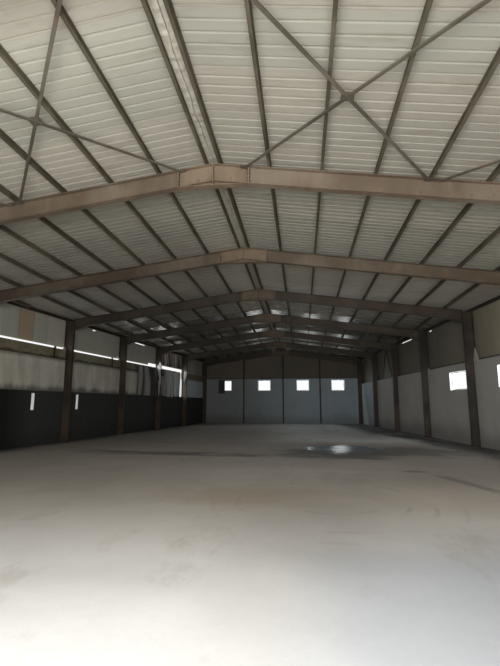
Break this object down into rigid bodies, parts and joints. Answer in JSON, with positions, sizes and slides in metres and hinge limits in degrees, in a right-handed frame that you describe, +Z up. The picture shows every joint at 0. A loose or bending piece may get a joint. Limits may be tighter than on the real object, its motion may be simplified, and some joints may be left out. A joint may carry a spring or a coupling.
{
  "type": "factory hall building",
  "caption": "Long single-storey steel portal-frame factory hall with a low gable roof of ribbed sheets, block walls and a plain vehicle doorway.",
  "frame": {"origin": "on the ground under the middle of the hall, at the floor slab's underside", "axes": "+Y along the hall from the front gable with the doorway to the rear gable, +X to the right seen from the doorway, +Z up"},
  "size_m": [19.9636, 36.924, 6.6034],
  "materials": {
    "worn_concrete": "bare worn concrete",
    "frame_steel": "dull grey-brown paint, dusty",
    "rafter_steel": "thin red-brown primer, dusty",
    "apex_steel": "bare ochre primer with rust",
    "purlin_steel": "dull brown paint",
    "roof_sheet": "pale grey paint, satin",
    "ridge_sheet": "pale grey paint, crumpled",
    "block_wall": "painted block wall, dusty",
    "dark_wall": "dark stained block wall",
    "pale_panel": "pale grey paint, stained",
    "stained_panel": "stained and rust-marked boards",
    "green_rail": "faded green-grey paint",
    "loose_sheet": "bent, dirty sheet",
    "window_frame": "plain grey paint"
  },
  "bodies": {
    "root": {"floor_slab": "worn_concrete", "left_columns": "frame_steel", "right_columns": "frame_steel", "left_rafters": "rafter_steel", "right_rafters": "rafter_steel", "apex_pieces": "apex_steel", "left_eave_haunches": "rafter_steel", "right_eave_haunches": "rafter_steel", "left_purlins": "purlin_steel", "right_purlins": "purlin_steel", "ridge_purlins": "purlin_steel", "left_eave_beam": "frame_steel", "right_eave_beam": "frame_steel", "left_roof_sheets": "roof_sheet", "right_roof_sheets": "roof_sheet", "ridge_cap": "ridge_sheet", "left_roof_bracing": "rafter_steel", "right_roof_bracing": "rafter_steel", "right_lower_wall": "block_wall", "right_upper_cladding": "pale_panel", "right_wall_rail": "frame_steel", "right_wall_bracing": "frame_steel", "right_window_frames": "window_frame", "left_lower_wall": "dark_wall", "left_wall_panels": "stained_panel", "left_wall_rail": "green_rail", "left_upper_cladding": "pale_panel", "left_loose_sheets": "loose_sheet", "rear_wall": "block_wall", "rear_upper_cladding": "pale_panel", "rear_wall_posts": "frame_steel", "rear_wall_rail": "frame_steel", "rear_window_frames": "window_frame", "rear_window_board": "loose_sheet", "front_wall_left": "block_wall", "front_wall_right": "block_wall", "front_upper_cladding": "pale_panel", "front_wall_posts": "frame_steel", "front_door_frame": "frame_steel", "front_window_frames": "window_frame", "front_verge_trim": "roof_sheet", "rear_verge_trim": "roof_sheet"}
  },
  "joints": []
}
